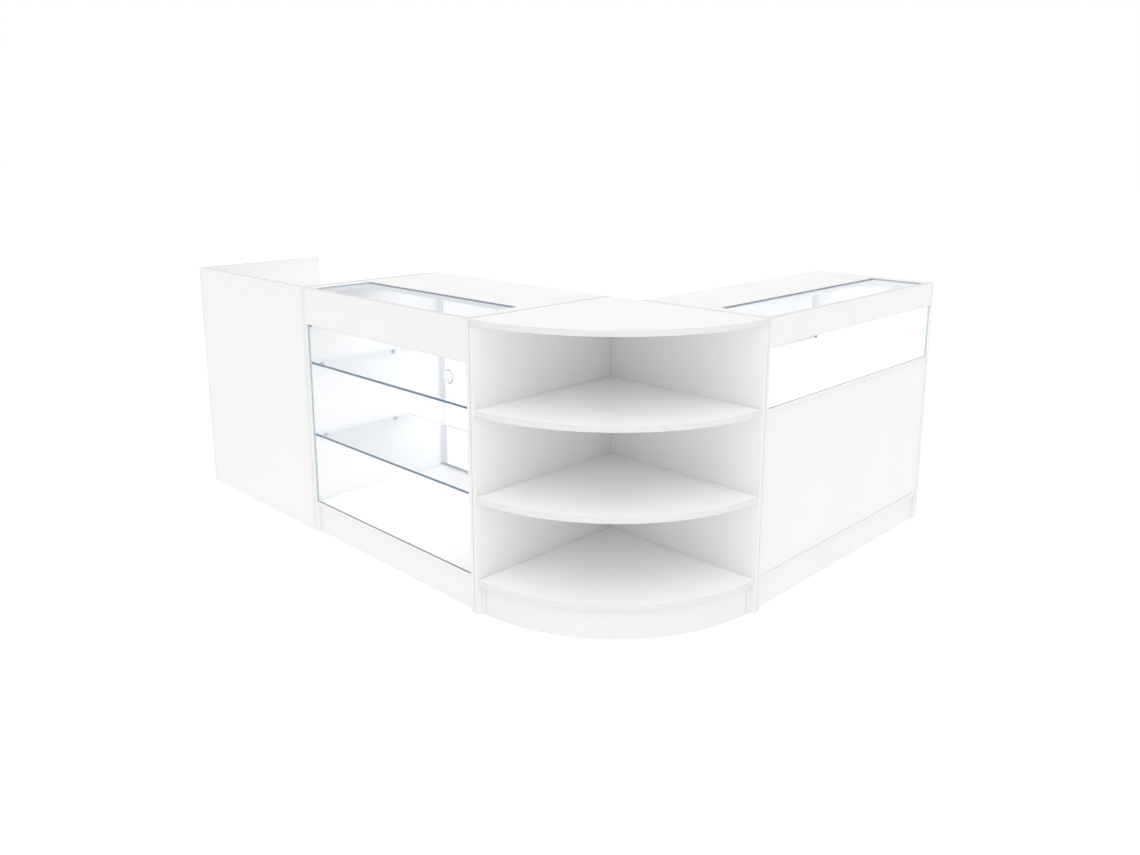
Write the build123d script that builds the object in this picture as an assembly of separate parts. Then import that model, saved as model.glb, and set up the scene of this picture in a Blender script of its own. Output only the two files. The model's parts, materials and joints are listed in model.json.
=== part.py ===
from build123d import *
import os

os.makedirs("parts", exist_ok=True)

# Overall sizes, millimetres
counter_height = 900.0
wing_depth = 600.0            # front to rear of the glass display, and radius of the corner unit
glass_display_width = 900.0
window_display_width = 1060.0
window_display_depth = 480.0
till_width = 800.0
till_depth = 540.0

# Boards and panes
panel_thickness = 15.0
top_thickness = 18.0
curved_board_thickness = 18.0
glass_thickness = 6.0
door_glass_thickness = 5.0
edge_ease = 0.8

# Clearances and set-backs
unit_gap = 2.0
glass_gap = 1.0
front_reveal = 1.0
lower_front_reveal = 3.0
front_glass_set = 4.0
plinth_set = 13.0
plinth_lift = 2.0
rear_plinth_set = 40.0
deck_rear_set = 2.0

# Heights of the boards inside the units
glass_deck_height = 120.0
deck_height = 112.0
upper_shelf_height = 636.0
lower_shelf_height = 374.0
window_floor_height = 630.0
storage_shelf_height = 370.0
glass_header_height = 128.5
window_header_height = 84.5

# Glass set into the tops
top_arm = 41.0
top_ledge = 8.0
glass_top_reach = 240.0
window_top_reach = 211.0
batten_depth = 18.0
batten_height = 18.0

# Glass shelves and their supports
glass_shelf_set = 12.0
glass_shelf_depth = 400.0
glass_shelf_thickness = 8.0
pin_front_inset = 40.0
pin_rear_inset = 58.0
pin_reach = 12.0
pin_width = 12.0
pin_leg = 13.0
pin_plate = 1.5
pin_spigot_radius = 2.3
pin_spigot_length = 8.0
pin_hole_radius = 2.6
pin_hole_depth = 9.0
pin_spigot_drop = 7.0
clip_width = 7.0
clip_depth = 4.0
clip_drop = 10.0
glass_clip_inset = 6.0
window_clip_inset = 263.0

# Sliding doors and their double channels
track_set = 18.0
channel_width = 8.0
channel_wall = 2.0
channel_base = 2.0
lower_channel_height = 10.0
upper_channel_height = 18.0
door_float = 1.0
door_lift = 7.0
door_overlap = 30.0
pull_radius = 25.0
pull_clearance = 0.3
pull_flange_radius = 29.0
pull_flange = 1.5
pull_wall = 2.0
pull_floor = 1.2
pull_edge_inset = 60.0

# Till unit
till_well_depth = 160.0
till_front_lift = 2.0
till_shelf_height = 350.0
shelf_side_gap = 1.0
drawer_front_height = 120.0
drawer_gap = 3.0
drawer_side_thickness = 12.0
drawer_bottom_thickness = 6.0
drawer_box_height = 88.0
drawer_box_lift = 14.0
drawer_depth = 430.0
runner_space = 13.0
runner_height = 42.0
runner_wall = 1.5
runner_reach = 10.0
runner_play = 0.5
slide_height = 36.0
slide_wall = 2.0
handle_span = 160.0
handle_radius = 5.0
handle_post_radius = 4.0
handle_stand_off = 30.0

# Screws that join the units
screw_radius = 2.2
screw_hole_radius = 2.5
screw_head_radius = 4.5
screw_head_height = 2.0
screw_bite = 9.0
screw_low_height = 55.0
screw_high_drop = 60.0
screw_end_inset = 90.0

# Corner unit
corner_plinth_set = 13.0
corner_plinth_thickness = 9.0
corner_plinth_lift = 3.0

# Turn of the right wing about the vertical, degrees
wing_turn = 90.0

parts = {}
shelf_pins = []
glass_clips = []
battens = []
screws = []


def slab(x0, x1, y0, y1, z0, z1):
    """A board or pane between two corners, with eased edges."""
    middle = Pos((x0 + x1) / 2, (y0 + y1) / 2, (z0 + z1) / 2)
    return middle * chamfer(Box(x1 - x0, y1 - y0, z1 - z0).edges(), edge_ease)


def plain(x0, x1, y0, y1, z0, z1):
    """A square-edged block between two corners."""
    return Pos((x0 + x1) / 2, (y0 + y1) / 2, (z0 + z1) / 2) * Box(x1 - x0, y1 - y0, z1 - z0)


def rod(x, y, z, axis, radius, length):
    """A round bar that starts at a point and runs along one axis."""
    plane = Plane(origin=(x, y, z), z_dir=axis)
    return plane * Pos(0, 0, length / 2) * Cylinder(radius, length)


def shelf_pin(x, y, z, side):
    """Bracket under a shelf; side is +1 when the board it stands on is at lower x."""
    plate = plain(min(x, x + side * pin_reach), max(x, x + side * pin_reach),
                  y - pin_width / 2, y + pin_width / 2, z - pin_plate, z)
    leg = plain(min(x, x + side * pin_plate), max(x, x + side * pin_plate),
                y - pin_width / 2, y + pin_width / 2, z - pin_leg, z)
    spigot = rod(x + side * pin_plate / 2, y, z - pin_spigot_drop, (-side, 0, 0),
                 pin_spigot_radius, pin_spigot_length + pin_plate / 2)
    return plate + leg + spigot


def pin_hole(x, y, z, side):
    """Blind hole in the board behind a shelf pin."""
    return rod(x, y, z - pin_spigot_drop, (-side, 0, 0), pin_hole_radius, pin_hole_depth)


def end_panels(width, depth, pin_rows):
    """Two end panels with holes for the shelf pins, and the pins themselves."""
    left = slab(0, panel_thickness, -depth, 0, 0, counter_height)
    right = slab(width - panel_thickness, width, -depth, 0, 0, counter_height)
    pins = []
    for height, y in pin_rows:
        left -= pin_hole(panel_thickness, y, height, 1)
        right -= pin_hole(width - panel_thickness, y, height, -1)
        pins.append(shelf_pin(panel_thickness, y, height, 1))
        pins.append(shelf_pin(width - panel_thickness, y, height, -1))
    return left, right, pins


def channel(width, z_base, height, up):
    """Double channel for two sliding panes; up is +1 for the lower one."""
    x0 = panel_thickness
    x1 = width - panel_thickness
    depth = 3 * channel_wall + 2 * channel_width
    y0 = -track_set - depth
    z_far = z_base + up * height
    body = plain(x0, x1, y0, -track_set, min(z_base, z_far), max(z_base, z_far))
    z_floor = z_base + up * channel_base
    for lane in range(2):
        y = y0 + channel_wall + lane * (channel_width + channel_wall)
        body -= plain(x0, x1, y, y + channel_width, min(z_floor, z_far), max(z_floor, z_far))
    return body


def sliding_door(width, z_floor, z_roof, lane):
    """Pane and finger pull; lane 0 is nearer the customer and rests at the left."""
    inner = width - 2 * panel_thickness
    pane_width = (inner + door_overlap) / 2 - door_float
    depth = 3 * channel_wall + 2 * channel_width
    y_lane = -track_set - depth + channel_wall + lane * (channel_width + channel_wall)
    y0 = y_lane + (channel_width - door_glass_thickness) / 2
    y1 = y0 + door_glass_thickness
    if lane == 0:
        x0 = panel_thickness + door_float
        x_pull = x0 + pull_edge_inset
    else:
        x0 = width - panel_thickness - door_float - pane_width
        x_pull = x0 + pane_width - pull_edge_inset
    z0 = z_floor + channel_base + door_float
    z1 = z_roof - channel_base - door_lift
    pull_height = (z0 + z1) / 2
    pane = slab(x0, x0 + pane_width, y0, y1, z0, z1)
    pane -= rod(x_pull, y0 - door_float, pull_height, (0, 1, 0),
                pull_radius + pull_clearance, door_glass_thickness + 2 * door_float)
    cup = rod(x_pull, y0, pull_height, (0, 1, 0), pull_radius, door_glass_thickness + pull_flange)
    cup += rod(x_pull, y1, pull_height, (0, 1, 0), pull_flange_radius, pull_flange)
    cup -= rod(x_pull, y0 + pull_floor, pull_height, (0, 1, 0), pull_radius - pull_wall,
               door_glass_thickness + pull_flange)
    return pane, cup


def glass_topped_frame(width, depth, header_height, reach):
    """Header board, top board with a recess for the glass, the glass, and its front batten."""
    y_front = -depth + front_reveal
    y_back = y_front + panel_thickness
    x0 = panel_thickness
    x1 = width - panel_thickness
    y_glass = -depth + reach
    z_ledge = counter_height - glass_thickness
    header = slab(x0, x1, y_front, y_back, counter_height - header_height, counter_height)
    board = slab(x0, x1, y_back, 0, counter_height - top_thickness, counter_height)
    board -= plain(x0 + top_arm, x1 - top_arm, y_back, y_glass, z_ledge, counter_height)
    board -= plain(x0 + top_arm + top_ledge, x1 - top_arm - top_ledge, y_back, y_glass - top_ledge,
                   counter_height - top_thickness, counter_height)
    pane = slab(x0 + top_arm + glass_gap, x1 - top_arm - glass_gap, y_back + glass_gap,
                y_glass - glass_gap, z_ledge, counter_height)
    batten = slab(x0 + top_arm + top_ledge, x1 - top_arm - top_ledge, y_back, y_back + batten_depth,
                  z_ledge - batten_height, z_ledge)
    return header, board, pane, batten


def display_unit(prefix, place, width, depth, header_height, reach, floor_height, base_height,
                 shelf_rows, clip_inset):
    """Everything that the two glass-fronted units have in common."""
    x0 = panel_thickness
    x1 = width - panel_thickness
    y_front = -depth + front_reveal
    z_head = counter_height - header_height
    z_roof = counter_height - top_thickness
    left, right, pins = end_panels(width, depth, shelf_rows)
    header, board, top_pane, batten = glass_topped_frame(width, depth, header_height, reach)
    y_pane = -depth + front_glass_set
    made = {
        "left_end_panel": left,
        "right_end_panel": right,
        "header": header,
        "top_board": board,
        "top_glass": top_pane,
        "front_glass": slab(x0 + glass_gap, x1 - glass_gap, y_pane, y_pane + glass_thickness,
                            floor_height, z_head - glass_gap),
        "deck": slab(x0, x1, y_front, -deck_rear_set, base_height - panel_thickness, base_height),
        "front_plinth": slab(x0, x1, -depth + plinth_set, -depth + plinth_set + panel_thickness,
                             plinth_lift, base_height - panel_thickness),
        "rear_plinth": slab(x0, x1, -rear_plinth_set - panel_thickness, -rear_plinth_set,
                            plinth_lift, base_height - panel_thickness),
        "door_lower_channel": channel(width, floor_height, lower_channel_height, 1),
        "door_upper_channel": channel(width, z_roof, upper_channel_height, -1),
    }
    for lane, side in enumerate(["left", "right"]):
        pane, cup = sliding_door(width, floor_height, z_roof, lane)
        made[side + "_door"] = pane
        made[side + "_door_pull"] = cup
    clip_y = y_pane + glass_thickness
    clip_x = x0 + clip_inset
    clip = plain(clip_x - clip_width / 2, clip_x + clip_width / 2, clip_y, clip_y + clip_depth,
                 z_head - clip_drop, z_head)
    for name, shape in made.items():
        parts[prefix + name] = place * shape
    shelf_pins.extend([place * pin for pin in pins])
    glass_clips.append(place * clip)
    battens.append(place * batten)


# Glass display, the left wing beside the corner
glass_place = Pos(-unit_gap - glass_display_width, 0, 0)
glass_shelf_front = -wing_depth + glass_shelf_set
glass_pin_rows = []
for shelf_height in (upper_shelf_height, lower_shelf_height):
    for pin_y in (glass_shelf_front + pin_front_inset,
                  glass_shelf_front + glass_shelf_depth - pin_rear_inset):
        glass_pin_rows.append((shelf_height - glass_shelf_thickness, pin_y))
display_unit("glass_display_", glass_place, glass_display_width, wing_depth, glass_header_height,
             glass_top_reach, glass_deck_height, glass_deck_height, glass_pin_rows,
             glass_clip_inset)
for name, shelf_height in (("upper_shelf", upper_shelf_height), ("lower_shelf", lower_shelf_height)):
    parts["glass_display_" + name] = glass_place * slab(
        panel_thickness + glass_gap, glass_display_width - panel_thickness - glass_gap,
        glass_shelf_front, glass_shelf_front + glass_shelf_depth,
        shelf_height - glass_shelf_thickness, shelf_height)

# Window display, the right wing, turned so that its front faces +X
window_place = Pos(wing_depth - window_display_depth, unit_gap, 0) * Rot(0, 0, wing_turn)
storage_front = -window_display_depth + lower_front_reveal + panel_thickness
storage_rear = -rear_plinth_set
window_pin_rows = []
for pin_y in (storage_front + pin_front_inset, storage_rear - pin_rear_inset):
    window_pin_rows.append((storage_shelf_height - panel_thickness, pin_y))
display_unit("window_display_", window_place, window_display_width, window_display_depth,
             window_header_height, window_top_reach, window_floor_height, deck_height,
             window_pin_rows, window_clip_inset)
window_left = panel_thickness
window_right = window_display_width - panel_thickness
parts["window_display_floor"] = window_place * slab(
    window_left, window_right, -window_display_depth + front_reveal, -deck_rear_set,
    window_floor_height - panel_thickness, window_floor_height)
parts["window_display_lower_front"] = window_place * slab(
    window_left, window_right, -window_display_depth + lower_front_reveal, storage_front,
    deck_height, window_floor_height - panel_thickness)
parts["window_display_storage_shelf"] = window_place * slab(
    window_left + shelf_side_gap, window_right - shelf_side_gap, storage_front, storage_rear,
    storage_shelf_height - panel_thickness, storage_shelf_height)

# Till unit, at the far left, with its worktop sunk below the panels round it
till_place = Pos(-2 * unit_gap - glass_display_width - till_width, till_depth - wing_depth, 0)
till_left = panel_thickness
till_right = till_width - panel_thickness
till_inner_front = -till_depth + front_reveal + panel_thickness
till_shelf_rear = -rear_plinth_set
till_pin_rows = []
for pin_y in (till_inner_front + pin_front_inset, till_shelf_rear - pin_rear_inset):
    till_pin_rows.append((till_shelf_height - panel_thickness, pin_y))
left_panel, right_panel, till_pins = end_panels(till_width, till_depth, till_pin_rows)
shelf_pins.extend([till_place * pin for pin in till_pins])
till_worktop_height = counter_height - till_well_depth
till_roof = till_worktop_height - top_thickness
drawer_top = till_roof - drawer_gap
drawer_low = drawer_top - drawer_front_height
drawer_face = -panel_thickness
drawer_nose = drawer_face - drawer_depth
box_low = drawer_low + drawer_box_lift
box_high = box_low + drawer_box_height
box_left = till_left + runner_space
box_right = till_right - runner_space
runner_middle = (box_low + box_high) / 2
till_middle = till_width / 2
till_made = {
    "left_end_panel": left_panel,
    "right_end_panel": right_panel,
    "front_panel": slab(till_left, till_right, -till_depth + front_reveal, till_inner_front,
                        till_front_lift, counter_height),
    "worktop": slab(till_left, till_right, till_inner_front, 0, till_roof, till_worktop_height),
    "shelf": slab(till_left + shelf_side_gap, till_right - shelf_side_gap, till_inner_front,
                  till_shelf_rear, till_shelf_height - panel_thickness, till_shelf_height),
    "deck": slab(till_left, till_right, till_inner_front, -deck_rear_set,
                 deck_height - panel_thickness, deck_height),
    "plinth": slab(till_left, till_right, -rear_plinth_set - panel_thickness, -rear_plinth_set,
                   plinth_lift, deck_height - panel_thickness),
    "drawer_front": slab(till_left + drawer_gap, till_right - drawer_gap, drawer_face, 0,
                         drawer_low, drawer_top),
    "drawer_sides": Compound([
        slab(box_left, box_left + drawer_side_thickness, drawer_nose, drawer_face, box_low, box_high),
        slab(box_right - drawer_side_thickness, box_right, drawer_nose, drawer_face, box_low, box_high),
    ]),
    "drawer_back": slab(box_left + drawer_side_thickness, box_right - drawer_side_thickness,
                        drawer_nose, drawer_nose + drawer_side_thickness, box_low, box_high),
    "drawer_bottom": slab(box_left + drawer_side_thickness, box_right - drawer_side_thickness,
                          drawer_nose + drawer_side_thickness, drawer_face,
                          box_low, box_low + drawer_bottom_thickness),
}
rails = []
slides = []
for wall, inward, box_face in ((till_left, 1, box_left), (till_right, -1, box_right)):
    reach = wall + inward * runner_reach
    hollow = wall + inward * runner_wall
    rail = plain(min(wall, reach), max(wall, reach), drawer_nose, drawer_face - drawer_gap,
                 runner_middle - runner_height / 2, runner_middle + runner_height / 2)
    rail -= plain(min(hollow, reach), max(hollow, reach), drawer_nose, drawer_face - drawer_gap,
                  runner_middle - runner_height / 2 + runner_wall,
                  runner_middle + runner_height / 2 - runner_wall)
    rails.append(rail)
    slide_face = hollow + inward * runner_play
    slide_web = box_face - inward * slide_wall
    slide = plain(min(slide_face, box_face), max(slide_face, box_face), drawer_nose,
                  drawer_face - drawer_gap, runner_middle - slide_height / 2,
                  runner_middle + slide_height / 2)
    slide -= plain(min(slide_face, slide_web), max(slide_face, slide_web), drawer_nose,
                   drawer_face - drawer_gap, runner_middle - slide_height / 2 + slide_wall,
                   runner_middle + slide_height / 2 - slide_wall)
    slides.append(slide)
till_made["drawer_rails"] = Compound(rails)
till_made["drawer_slides"] = Compound(slides)
handle_z = (drawer_low + drawer_top) / 2
handle = rod(till_middle - handle_span / 2, handle_stand_off, handle_z, (1, 0, 0),
             handle_radius, handle_span)
for offset in (-handle_span / 2 + 2 * handle_radius, handle_span / 2 - 2 * handle_radius):
    handle += rod(till_middle + offset, 0, handle_z, (0, 1, 0), handle_post_radius, handle_stand_off)
till_made["drawer_handle"] = handle
for name, shape in till_made.items():
    parts["till_" + name] = till_place * shape


# Corner unit: quarter-round boards between two walls
def quarter(radius, inset, z0, z1):
    """Quarter of a disc in the +X, -Y quadrant, kept clear of the walls by an inset."""
    disc = Pos(0, 0, (z0 + z1) / 2) * Cylinder(radius, z1 - z0)
    keep = plain(inset, radius, -radius, -inset, z0, z1)
    return disc & keep


def eased_quarter(radius, inset, z0, z1):
    """The same, with its long edges eased."""
    board = quarter(radius, inset, z0, z1)
    return chamfer(board.edges().filter_by(Plane.XY), edge_ease)


corner_roof = counter_height - top_thickness
parts["corner_left_wall"] = slab(0, panel_thickness, -wing_depth, 0, 0, corner_roof)
parts["corner_right_wall"] = slab(panel_thickness, wing_depth, -panel_thickness, 0, 0, corner_roof)
parts["corner_top"] = eased_quarter(wing_depth, 0, corner_roof, counter_height)
for name, board_height in (("corner_upper_shelf", upper_shelf_height),
                           ("corner_lower_shelf", lower_shelf_height),
                           ("corner_deck", deck_height)):
    parts[name] = eased_quarter(wing_depth, panel_thickness, board_height - curved_board_thickness,
                                board_height)
plinth_outer = wing_depth - corner_plinth_set
plinth_top = deck_height - curved_board_thickness
plinth_band = quarter(plinth_outer, panel_thickness, corner_plinth_lift, plinth_top)
plinth_band -= Pos(0, 0, counter_height / 2) * Cylinder(plinth_outer - corner_plinth_thickness,
                                                       counter_height)
parts["corner_plinth"] = plinth_band


# Screws from inside each unit into its neighbour
def join(near, far, x, y, z, axis):
    """One screw through the near panel into the far one, starting at the near panel's inner face."""
    back = (-axis[0], -axis[1], -axis[2])
    through = panel_thickness + unit_gap + screw_bite
    parts[near] -= rod(x, y, z, axis, screw_hole_radius, panel_thickness)
    parts[far] -= rod(x, y, z, axis, screw_hole_radius, through + glass_gap)
    screws.append(rod(x, y, z, axis, screw_radius, through)
                  + rod(x, y, z, back, screw_head_radius, screw_head_height))


till_seam = -2 * unit_gap - glass_display_width - panel_thickness
corner_seam = -unit_gap - panel_thickness
for z in (screw_low_height, corner_roof - screw_high_drop):
    for y in (-wing_depth + screw_end_inset, till_depth - wing_depth - screw_end_inset):
        join("till_right_end_panel", "glass_display_left_end_panel", till_seam, y, z, (1, 0, 0))
    for y in (-wing_depth + screw_end_inset, -screw_end_inset):
        join("glass_display_right_end_panel", "corner_left_wall", corner_seam, y, z, (1, 0, 0))
    for x in (wing_depth - screw_end_inset, wing_depth - window_display_depth + screw_end_inset):
        join("window_display_left_end_panel", "corner_right_wall", x, unit_gap + panel_thickness, z,
             (0, -1, 0))

parts["shelf_pins"] = Compound(shelf_pins)
parts["glass_clips"] = Compound(glass_clips)
parts["glass_top_battens"] = Compound(battens)
parts["joining_screws"] = Compound(screws)

# Origin at the middle of the whole footprint, on the floor
left_end = -2 * unit_gap - glass_display_width - till_width
right_end = wing_depth
near_end = -wing_depth
far_end = unit_gap + window_display_width
to_origin = Pos(-(left_end + right_end) / 2, -(near_end + far_end) / 2, 0)
for name, shape in parts.items():
    export_step(to_origin * shape, os.path.join("parts", name + ".step"))
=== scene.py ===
import json
from math import radians

import bpy
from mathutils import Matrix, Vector


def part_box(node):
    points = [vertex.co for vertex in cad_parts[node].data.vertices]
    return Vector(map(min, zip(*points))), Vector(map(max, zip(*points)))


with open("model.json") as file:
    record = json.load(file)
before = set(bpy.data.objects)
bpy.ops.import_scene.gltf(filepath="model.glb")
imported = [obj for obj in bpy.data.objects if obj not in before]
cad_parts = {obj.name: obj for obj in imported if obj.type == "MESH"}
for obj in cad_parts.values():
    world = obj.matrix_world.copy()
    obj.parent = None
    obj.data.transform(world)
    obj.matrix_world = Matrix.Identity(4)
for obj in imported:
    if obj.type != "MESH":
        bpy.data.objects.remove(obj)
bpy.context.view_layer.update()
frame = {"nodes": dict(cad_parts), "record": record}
nodes = frame["nodes"]
scene = bpy.context.scene

# Sizes in metres
MM = 0.001
EDGING_DEPTH = 1.0 * MM         # thickness of the edging strip round each board
EDGING_LINE = 0.18 * MM         # half the width of the joint that shows beside it
WORN_EDGE = 6.0 * MM            # how far scuffs reach from a board's edge
WORN_FOOT_FULL = 4.0 * MM       # up to here scuffs are thickest above the floor
WORN_FOOT = 40.0 * MM           # how far scuffs reach up from the floor
PAINTED_FOOT_LINE = 0.9 * MM           # height of the painted line at the foot of a front pane: painted shade on one display, painted light on the other
FOOT_FADE = 0.5 * MM            # over which that strip gives way to clear glass
ARRIS = 0.6 * MM                # width of the palest band along each side of a glass edge
ARRIS_END = 1.4 * MM            # where that band has faded into the edge's own colour
PEARL_DEPTH = 0.05 * MM
FLOOR_SIZE = 60.0
FLOOR_DROP = 0.5 * MM

# Camera
SENSOR_WIDTH = 36.0             # millimetres, as Blender gives it
LENS = 30.38
VERTICAL_SHIFT = -0.0677
CAMERA_PLACE = (2.6323, -2.5309, 1.3727)
CAMERA_TURN = (78.1, 0.0, 44.64)

# Case lights: the display, the piece that each light lies under, and its watts
UNDER_LIGHTS = (
    ("glass_display", "glass_display_top_board", 1.3),
    ("glass_display", "glass_display_upper_shelf", 0.5),
    ("glass_display", "glass_display_lower_shelf", 0.42),
    ("window_display", "window_display_top_board", 2.0),
)
GLASS_END_WATTS = 0.7           # at the glass display's end by the corner
WINDOW_END_WATTS = 0.5          # at the window display's end by the corner
STRIP_WATTS = 0.15              # behind the glass display's doors
STRIP_STANDOFF = 0.15           # metres from that light to the panel that it lights
LIGHT_DROP = 3 * MM             # from each light to the piece that it lies against
CASE_LIGHT_MARGIN = 0.09        # how much shorter a light is than what it lies against, in metres
REARWARD_SHARE = 0.35           # how much of the glass display's depth, from the front, is left unlit

# Room light
DOME_STRENGTH = 0.63
SOFTBOX_STRENGTH = 1.56
FLOOR_GLOW = 0.42
FLOOR_LOW, FLOOR_HIGH = (0.75, 0.75, 0.75), (0.77, 0.77, 0.77)
SOFTBOX_DIRECTION = (0.35, -0.35, 0.87)
SOFTBOX_FALLOFF = 4.0


# ---------------------------------------------------------------- node helper
class Graph:
    """A material with a Principled shader, and short ways to add nodes to it."""

    def __init__(self, name):
        self.material = bpy.data.materials.new(name)
        self.material.use_nodes = True
        self.tree = self.material.node_tree
        self.shader = self.tree.nodes["Principled BSDF"]

    def node(self, kind, **settings):
        """Adds a node and sets its properties."""
        made = self.tree.nodes.new(kind)
        for key, value in settings.items():
            setattr(made, key, value)
        return made

    def feed(self, socket, value):
        """Links a socket to another one, or sets it to a value."""
        if isinstance(value, bpy.types.NodeSocket):
            self.tree.links.new(value, socket)
        else:
            socket.default_value = value

    def math(self, operation, first, second=0.0, third=0.0):
        made = self.node("ShaderNodeMath", operation=operation)
        for socket, value in zip(made.inputs, (first, second, third)):
            self.feed(socket, value)
        return made.outputs[0]

    def place(self):
        return self.node("ShaderNodeTexCoord").outputs["Object"]

    def stretched(self, factors):
        """The object's own coordinates, each multiplied by its factor."""
        made = self.node("ShaderNodeMapping")
        self.feed(made.inputs["Vector"], self.place())
        made.inputs["Scale"].default_value = factors
        return made.outputs[0]

    def noise(self, scale, detail=3.0, vector=None):
        made = self.node("ShaderNodeTexNoise")
        self.feed(made.inputs["Vector"], vector or self.place())
        made.inputs["Scale"].default_value = scale
        made.inputs["Detail"].default_value = detail
        return made.outputs["Fac"]

    def between(self, value, low, high, to_low=0.0, to_high=1.0):
        """Eases from to_low to to_high as the value goes from low to high."""
        made = self.node("ShaderNodeMapRange", interpolation_type="SMOOTHSTEP")
        for socket, number in zip(made.inputs, (value, low, high, to_low, to_high)):
            self.feed(socket, number)
        return made.outputs[0]

    def mix(self, factor, first, second):
        made = self.node("ShaderNodeMix", data_type="RGBA")
        self.feed(made.inputs["Factor"], factor)
        for name, colour in (("A", first), ("B", second)):
            socket = [s for s in made.inputs if s.name == name and s.type == "RGBA"][0]
            self.feed(socket, colour if isinstance(colour, bpy.types.NodeSocket) else (*colour, 1.0))
        return [s for s in made.outputs if s.type == "RGBA"][0]

    def bump(self, height, distance, strength=1.0):
        made = self.node("ShaderNodeBump")
        made.inputs["Strength"].default_value = strength
        made.inputs["Distance"].default_value = distance
        self.feed(made.inputs["Height"], height)
        self.feed(self.shader.inputs["Normal"], made.outputs["Normal"])

    def axis(self, index):
        """The object's own x, y or z."""
        made = self.node("ShaderNodeSeparateXYZ")
        self.feed(made.inputs[0], self.place())
        return made.outputs[index]

    def set(self, **values):
        """Sets or links the shader's inputs, with underscores for the spaces in their names."""
        for name, value in values.items():
            self.feed(self.shader.inputs[name.replace("_", " ")], value)


# ---------------------------------------------------------------- materials
MELAMINE = (1.0, 1.0, 0.997)
MELAMINE_LOW = (0.986, 0.986, 0.983)
# Painted light and shade: the one white board gets lighter tones on the tops and the corner's shelves,
# darker ones on the fronts, the corner's walls and its plinth
FRONT_SHADED_TONE = 0.785
TOP_LIT_TONE = 0.97
BOARD_TONE = 0.88
WALL_SHADED_TONE = 0.855
SHELF_LIT_TONE = 0.915
PLINTH_SHADED_TONE = 0.75
EDGING = (0.76, 0.758, 0.75)
# painted shade: a darker copy of the edging, for the corner's curved boards
CORNER_EDGING_SHADED = (0.69, 0.695, 0.70)
JOINT_COLOUR = (0.60, 0.59, 0.57)
JOINT_SHOWS = 0.5
SCUFF_COLOUR = (0.72, 0.71, 0.69)
SCUFF_SHOWS = 0.35
SCUFF_START, SCUFF_FULL = 0.62, 0.74    # of the noise that scatters the scuffs
MOTTLE_SCALE, PEARL_SCALE, SCUFF_SCALE, SMEAR_SCALE = 4.0, 1400.0, 160.0, 9.0


def board_material(name, low, high, painted_tone, edging, curved):
    """White melamine facing: fine pearl texture, a joint beside the edging, faint scuffs, and an overall
    tone of painted light and shade.

    A curved board is a quarter circle round the inner corner of the corner unit's top.
    """
    g = Graph(name)
    size = high - low
    thin = min(range(3), key=lambda i: size[i])
    distances = []
    for i in range(3):
        if i == thin:
            continue
        p = g.axis(i)
        distances.append(g.math("MINIMUM", g.math("SUBTRACT", p, low[i]),
                                g.math("SUBTRACT", high[i], p)))
    edge = g.math("MINIMUM", *distances)
    if curved:
        across = g.math("SUBTRACT", g.axis(0), corner_low.x)
        along = g.math("SUBTRACT", g.axis(1), corner_high.y)
        reach = g.math("SQRT", g.math("ADD", g.math("POWER", across, 2.0), g.math("POWER", along, 2.0)))
        edge = g.math("MINIMUM", edge, g.math("SUBTRACT", high.x - corner_low.x, reach))
    from_joint = g.math("ABSOLUTE", g.math("SUBTRACT", edge, EDGING_DEPTH))
    joint = g.between(from_joint, EDGING_LINE, 2 * EDGING_LINE, 1.0, 0.0)
    on_edging = g.between(edge, EDGING_DEPTH - EDGING_LINE, EDGING_DEPTH, 1.0, 0.0)
    mottle = g.noise(MOTTLE_SCALE, 2.0)
    pearl = g.noise(PEARL_SCALE, 2.0)
    scuffs = g.between(g.noise(SCUFF_SCALE, 6.0), SCUFF_START, SCUFF_FULL)
    near_edge = g.between(edge, EDGING_DEPTH, WORN_EDGE, 1.0, 0.0)
    floor_band = g.between(g.axis(2), WORN_FOOT_FULL, WORN_FOOT, 1.0, 0.0)
    worn = g.math("MULTIPLY", scuffs, g.math("MAXIMUM", near_edge, floor_band))
    worn = g.math("MULTIPLY", worn, SCUFF_SHOWS)
    # the whole facing is scaled by the board's tone, painted light and shade: lighter on tops, darker on
    # fronts and the corner's walls and plinth
    colour = g.mix(mottle, tuple(c * painted_tone for c in MELAMINE_LOW), tuple(c * painted_tone for c in MELAMINE))
    colour = g.mix(on_edging, colour, edging)
    colour = g.mix(g.math("MULTIPLY", joint, JOINT_SHOWS), colour, JOINT_COLOUR)
    colour = g.mix(worn, colour, SCUFF_COLOUR)
    smear = g.noise(SMEAR_SCALE, 5.0, g.stretched((1.0, 1.0, 0.35)))
    roughness = g.between(smear, 0.3, 0.7, 0.30, 0.42)
    roughness = g.math("ADD", roughness, g.math("MULTIPLY", worn, 0.3))
    height = g.math("SUBTRACT", g.math("MULTIPLY", pearl, 0.25), joint)
    g.set(Base_Color=colour, Roughness=roughness)
    g.bump(height, PEARL_DEPTH, 0.6)
    return g.material


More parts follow.
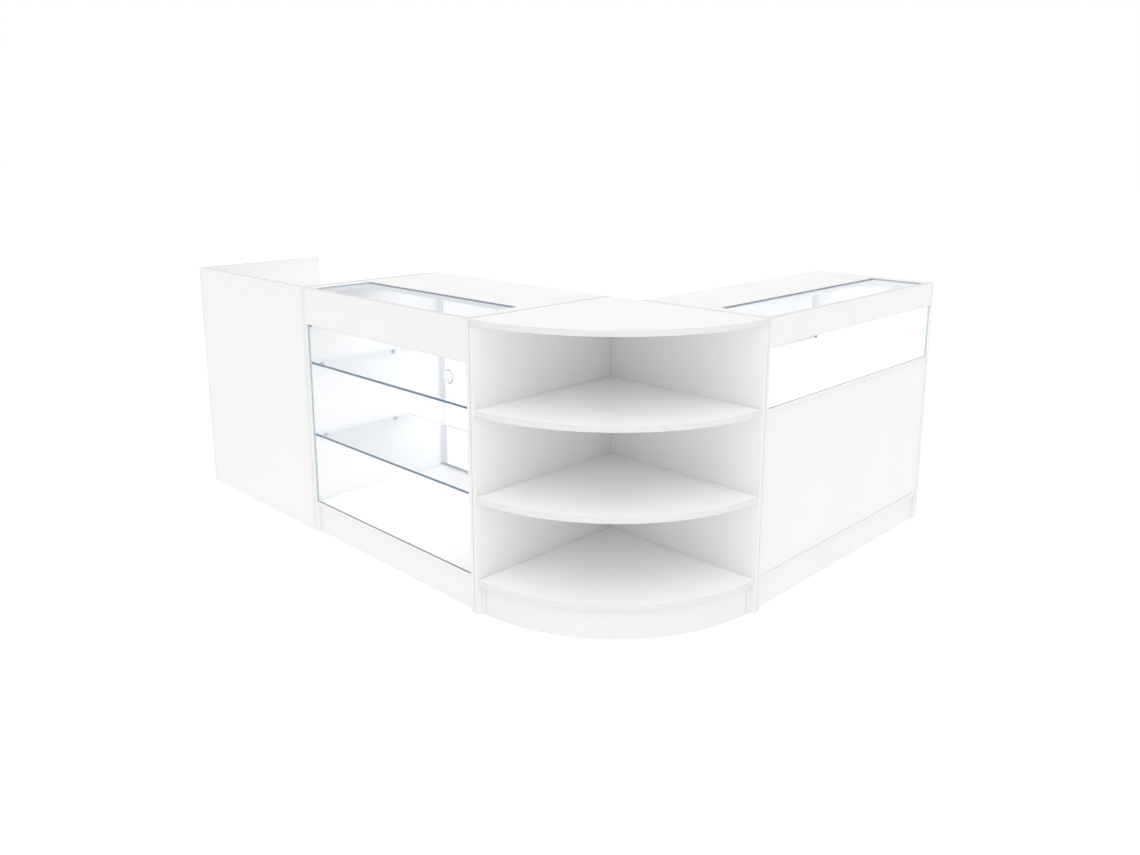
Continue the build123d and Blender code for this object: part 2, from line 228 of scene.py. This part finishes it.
def glass_face_material(name, tint, gloss_tint, fresnel_ior, foot=None, painted_foot_colour=None):
    """Clear float glass: lets light straight through, mirrors by Fresnel, with faint wiping marks.

    A front pane also has a painted line along its foot, which begins at the height foot: painted shade on
    the glass display, painted light on the window display.
    """
    g = Graph(name)
    clear = g.node("ShaderNodeBsdfTransparent")
    clear.inputs["Color"].default_value = (*tint, 1.0)
    gloss = g.node("ShaderNodeBsdfGlossy")
    gloss.inputs["Color"].default_value = (*gloss_tint, 1.0)
    marks = g.noise(14.0, 5.0, g.stretched((1.0, 1.0, 0.25)))
    g.feed(gloss.inputs["Roughness"], g.between(marks, 0.5, 0.8, 0.02, 0.07))
    fresnel = g.node("ShaderNodeFresnel")
    fresnel.inputs["IOR"].default_value = fresnel_ior
    inside = g.node("ShaderNodeNewGeometry").outputs["Backfacing"]
    mirrored = g.math("MULTIPLY", fresnel.outputs[0], g.math("SUBTRACT", 1.0, inside))
    joined = g.node("ShaderNodeMixShader")
    g.feed(joined.inputs[0], mirrored)
    g.feed(joined.inputs[1], clear.outputs[0])
    g.feed(joined.inputs[2], gloss.outputs[0])
    output = g.tree.nodes["Material Output"]
    if foot is None:
        g.tree.nodes.remove(g.shader)
        g.feed(output.inputs["Surface"], joined.outputs[0])
        return g.material
    # painted line along the foot, in the display's foot colour: painted shade on the glass display, painted
    # light on the window display
    streaks = g.noise(60.0, 4.0)
    g.set(Base_Color=g.mix(streaks, painted_foot_colour, tuple(c * 1.2 for c in painted_foot_colour)), Roughness=0.4)
    height = g.math("SUBTRACT", g.axis(2), foot)
    footed = g.node("ShaderNodeMixShader")
    g.feed(footed.inputs[0], g.between(height, PAINTED_FOOT_LINE, PAINTED_FOOT_LINE + FOOT_FADE, 1.0, 0.0))
    g.feed(footed.inputs[1], joined.outputs[0])
    g.feed(footed.inputs[2], g.shader.outputs[0])
    g.feed(output.inputs["Surface"], footed.outputs[0])
    return g.material


def glass_edge_material(name, low, high, thin, dark, pale):
    """Ground glass edge in painted shade and light: dark in the middle, paler along both arrises."""
    g = Graph(name)
    p = g.axis(thin)
    distance = g.math("MINIMUM", g.math("SUBTRACT", p, low[thin]), g.math("SUBTRACT", high[thin], p))
    arris = g.between(distance, ARRIS, ARRIS_END, 1.0, 0.0)
    streaks = g.noise(60.0, 4.0)
    body = g.mix(streaks, dark, tuple(c * 1.25 for c in dark))
    g.set(Base_Color=g.mix(arris, body, pale), Roughness=g.between(streaks, 0.3, 0.7, 0.12, 0.28))
    g.bump(g.noise(900.0, 2.0), 0.03 * MM, 0.4)
    return g.material


def metal_material(name, colour, brushed, roughness):
    """Brushed or plated metal; the brushing runs along the axis with the smallest factor."""
    g = Graph(name)
    grain = g.noise(220.0, 3.0, g.stretched(brushed))
    dark = tuple(c * 0.86 for c in colour)
    g.set(Base_Color=g.mix(grain, dark, colour),
          Roughness=g.between(grain, 0.3, 0.7, roughness - 0.06, roughness + 0.08))
    g.shader.inputs["Metallic"].default_value = 1.0
    g.bump(grain, 0.02 * MM, 0.5)
    return g.material


def plastic_material(name, colour, roughness, grain_scale=1800.0):
    """Moulded or coated plastic with a fine grain."""
    g = Graph(name)
    grain = g.noise(grain_scale, 2.0)
    cloud = g.noise(12.0, 3.0)
    g.set(Base_Color=g.mix(cloud, tuple(c * 0.94 for c in colour), colour),
          Roughness=g.between(cloud, 0.3, 0.7, roughness - 0.05, roughness + 0.06))
    g.bump(grain, 0.03 * MM, 0.5)
    return g.material


def dress(node, material):
    """Gives a CAD node one material."""
    mesh = nodes[node].data
    mesh.materials.clear()
    mesh.materials.append(material)


def dress_glass(node, face, sides):
    """Gives a pane its clear faces, and each ground edge the painted tone, dark, middle or pale, that sides
    gives its direction.
    """
    low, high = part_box(node)
    size = high - low
    thin = min(range(3), key=lambda i: size[i])
    mesh = nodes[node].data
    mesh.materials.clear()
    mesh.materials.append(face)
    for painted_tone, (body, rim) in enumerate(PAINTED_EDGE_TONES):
        mesh.materials.append(glass_edge_material(f"{node}_edge_{painted_tone}", low, high, thin, body, rim))
    for polygon in mesh.polygons:
        normal = polygon.normal
        if abs(normal[thin]) > FACES_ALONG or normal.z < -FACES_ALONG:
            polygon.material_index = 0
            continue
        painted_tone = PALE
        for side, wanted in sides.items():
            if normal.dot(Vector(side)) > FACES_SIDE:
                painted_tone = wanted
        polygon.material_index = 1 + painted_tone


# ---------------------------------------------------------------- dressing the frame
slots = {}
for entry in frame["record"]["subparts"]:
    slots[entry["node"]] = entry["material_slot"]

CASE_GLASS_LOOK = ((0.995, 0.997, 1.0), (0.9, 0.94, 1.0), 1.45)
CASE_GLASS = glass_face_material("clear_glass", *CASE_GLASS_LOOK)
# the painted line at each front pane's foot: painted shade on the glass display, painted light on the
# window display
PAINTED_FOOT_COLOURS = {
    "glass_display_front_glass": (0.30, 0.40, 0.47),
    "window_display_front_glass": (0.84, 0.85, 0.86),
}
SHELF_GLASS = glass_face_material("shelf_glass", (0.996, 0.998, 1.0), (0.9, 0.94, 1.0), 1.22)
DOOR_GLASS = glass_face_material("door_glass", (0.994, 0.996, 1.0), (0.9, 0.94, 1.0), 1.35)
DARK, MIDDLE, PALE = 0, 1, 2
FACES_ALONG = 0.9       # how nearly a polygon looks along an axis to count as a pane's face
FACES_SIDE = 0.6        # and to count as looking towards one of the sides below
# Painted shade and light of the glass edges, by the way each faces: dark, middle and pale, each a body
# colour and an arris colour
PAINTED_EDGE_TONES = (
    ((0.07, 0.125, 0.18), (0.13, 0.20, 0.26)),
    ((0.33, 0.42, 0.47), (0.46, 0.55, 0.60)),
    ((0.80, 0.84, 0.87), (0.80, 0.84, 0.87)),
)
LEFTWARD, RIGHTWARD = (-1, 0, 0), (1, 0, 0)
FRONTWARD, REARWARD = (0, -1, 0), (0, 1, 0)
# which edges of each pane are painted dark or middle; all other edges are painted pale
PAINTED_EDGE_SIDES = {
    "glass_display_upper_shelf": {FRONTWARD: DARK},
    "glass_display_lower_shelf": {FRONTWARD: DARK},
    "glass_display_front_glass": {LEFTWARD: MIDDLE, RIGHTWARD: MIDDLE},
    "glass_display_top_glass": {LEFTWARD: MIDDLE, REARWARD: DARK},
    "window_display_front_glass": {FRONTWARD: MIDDLE, REARWARD: MIDDLE},
    "window_display_top_glass": {LEFTWARD: DARK, REARWARD: MIDDLE},
}
channel_plastic = plastic_material("channel_plastic", (0.86, 0.86, 0.855), 0.42)
pin_metal = metal_material("pin_zinc", (0.66, 0.67, 0.69), (1.0, 1.0, 0.2), 0.35)
clip_plastic = plastic_material("clip_plastic", (0.10, 0.12, 0.135), 0.4)
pull_plastic = plastic_material("pull_plastic", (0.93, 0.935, 0.94), 0.25)
runner_paint = plastic_material("runner_paint", (0.70, 0.70, 0.69), 0.35, 900.0)
steel = metal_material("satin_steel", (0.60, 0.60, 0.61), (0.1, 1.0, 1.0), 0.3)
PLAIN = {
    "channel": channel_plastic,
    "pin": pin_metal,
    "clip": clip_plastic,
    "pull": pull_plastic,
    "runner": runner_paint,
    "steel": steel,
}

ROUND_BOARDS = ("corner_top", "corner_upper_shelf", "corner_lower_shelf", "corner_deck")


def painted_tone_of(node):
    """How pale a board is painted, as painted light and shade: the fronts a little less than the tops, the
    corner's shelves a little more, the corner's walls and plinth less.
    """
    if node == "corner_plinth":
        return PLINTH_SHADED_TONE
    if node == "corner_top" or node.endswith("top_board") or node.startswith("till_left"):
        return TOP_LIT_TONE
    if node in ROUND_BOARDS:
        return SHELF_LIT_TONE
    if node.startswith("corner_"):
        return WALL_SHADED_TONE
    if node.endswith(("header", "front_panel", "lower_front", "front_plinth")):
        return FRONT_SHADED_TONE
    return BOARD_TONE


corner_low, corner_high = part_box("corner_top")
for node, slot in slots.items():
    low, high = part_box(node)
    if slot in ("board", "drawer_board"):
        # the corner's curved boards take the darker copy of the edging, painted shade
        edging = CORNER_EDGING_SHADED if node in ROUND_BOARDS else EDGING
        dress(node, board_material(node + "_board", low, high, painted_tone_of(node), edging, node in ROUND_BOARDS))
    elif slot == "glass":
        if node.endswith("front_glass"):
            face = glass_face_material(node + "_face", *CASE_GLASS_LOOK, low.z, PAINTED_FOOT_COLOURS[node])
        else:
            face = SHELF_GLASS if node.endswith("shelf") else CASE_GLASS
        dress_glass(node, face, PAINTED_EDGE_SIDES[node])
    elif slot == "door_glass":
        dress_glass(node, DOOR_GLASS, {})
    else:
        dress(node, PLAIN[slot])

# ---------------------------------------------------------------- floor, light and camera
floor_mesh = bpy.data.meshes.new("studio_floor")
half = FLOOR_SIZE / 2
floor_mesh.from_pydata([(-half, -half, 0), (half, -half, 0), (half, half, 0), (-half, half, 0)], [],
                       [(0, 1, 2, 3)])
floor = bpy.data.objects.new("studio_floor", floor_mesh)
floor.location.z = -FLOOR_DROP
scene.collection.objects.link(floor)
floor_graph = Graph("floor_paper")
floor_graph.set(Base_Color=floor_graph.mix(floor_graph.noise(3.0), FLOOR_LOW, FLOOR_HIGH))
floor_graph.shader.inputs["Emission Color"].default_value = (1.0, 1.0, 1.0, 1.0)
floor_graph.shader.inputs["Emission Strength"].default_value = FLOOR_GLOW
floor_graph.shader.inputs["Roughness"].default_value = 0.9
floor_graph.shader.inputs["Specular IOR Level"].default_value = 0.0
floor_mesh.materials.append(floor_graph.material)

world = bpy.data.worlds.new("studio")
scene.world = world
world.use_nodes = True
sky = world.node_tree
background = sky.nodes["Background"]
background.inputs["Color"].default_value = (1.0, 1.0, 1.0, 1.0)


def sky_node(kind, operation, first, second):
    """One calculation in the world's nodes; a socket is linked and a number or vector is set."""
    made = sky.nodes.new(kind)
    made.operation = operation
    for socket, value in zip(made.inputs, (first, second)):
        if isinstance(value, bpy.types.NodeSocket):
            sky.links.new(value, socket)
        else:
            socket.default_value = value
    return made.outputs["Value"]


# An even white dome, brighter in a wide patch high up on the customer's side; the backdrop shows white
direction = sky.nodes.new("ShaderNodeTexCoord").outputs["Generated"]
to_patch = sky_node("ShaderNodeVectorMath", "DOT_PRODUCT", direction, SOFTBOX_DIRECTION)
facing_patch = sky_node("ShaderNodeMath", "MAXIMUM", to_patch, 0.0)
patch = sky_node("ShaderNodeMath", "POWER", facing_patch, SOFTBOX_FALLOFF)
patch_light = sky_node("ShaderNodeMath", "MULTIPLY", patch, SOFTBOX_STRENGTH)
lit = sky_node("ShaderNodeMath", "ADD", patch_light, DOME_STRENGTH)
seen = sky.nodes.new("ShaderNodeLightPath").outputs["Is Camera Ray"]
sky.links.new(sky_node("ShaderNodeMath", "MAXIMUM", lit, seen), background.inputs["Strength"])


def area_light(name, size_x, size_y, power, place, turn):
    """A soft rectangle of light that neither the camera nor a mirrored ray sees."""
    data = bpy.data.lights.new(name, "AREA")
    data.shape = "RECTANGLE"
    data.size = size_x
    data.size_y = size_y
    data.energy = power
    light = bpy.data.objects.new(name, data)
    light.location = place
    light.rotation_euler = [radians(a) for a in turn]
    light.visible_camera = False
    light.visible_glossy = False
    scene.collection.objects.link(light)


# Each glass case is lit from above in every bay and from its end by the corner, as bright as the room
for display, over, power in UNDER_LIGHTS:
    low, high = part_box(display + "_top_board")
    if display == "glass_display":
        low.y += REARWARD_SHARE * (high.y - low.y)
    place = ((low.x + high.x) / 2, (low.y + high.y) / 2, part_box(over)[0].z - LIGHT_DROP)
    area_light(over + "_light", high.x - low.x - CASE_LIGHT_MARGIN, high.y - low.y - CASE_LIGHT_MARGIN,
               power, place, (0, 0, 0))

low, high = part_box("glass_display_right_end_panel")
low.y += REARWARD_SHARE * (high.y - low.y)
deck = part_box("glass_display_deck")[1].z
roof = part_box("glass_display_door_upper_channel")[0].z
place = (low.x - LIGHT_DROP, (low.y + high.y) / 2, (deck + roof) / 2)
area_light("glass_display_end_light", roof - deck, high.y - low.y - CASE_LIGHT_MARGIN, GLASS_END_WATTS,
           place, (0, 90, 0))
behind = max(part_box(f"glass_display_{side}_door")[1].y for side in ("left", "right"))
far_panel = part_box("glass_display_left_end_panel")[1]
area_light("glass_display_strip_light", roof - deck, far_panel.y - behind, STRIP_WATTS,
           (far_panel.x + STRIP_STANDOFF, (behind + far_panel.y) / 2, (deck + roof) / 2), (0, 90, 0))

low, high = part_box("window_display_left_end_panel")
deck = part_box("window_display_floor")[1].z
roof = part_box("window_display_door_upper_channel")[0].z
area_light("window_display_end_light", high.x - low.x - CASE_LIGHT_MARGIN, roof - deck, WINDOW_END_WATTS,
           ((low.x + high.x) / 2, high.y + LIGHT_DROP, (deck + roof) / 2), (90, 0, 0))

camera_data = bpy.data.cameras.new("camera")
camera_data.sensor_width = SENSOR_WIDTH
camera_data.lens = LENS
camera_data.shift_y = VERTICAL_SHIFT
camera = bpy.data.objects.new("camera", camera_data)
camera.location = CAMERA_PLACE
camera.rotation_euler = [radians(a) for a in CAMERA_TURN]
scene.collection.objects.link(camera)
scene.camera = camera
scene.view_settings.view_transform = "Standard"
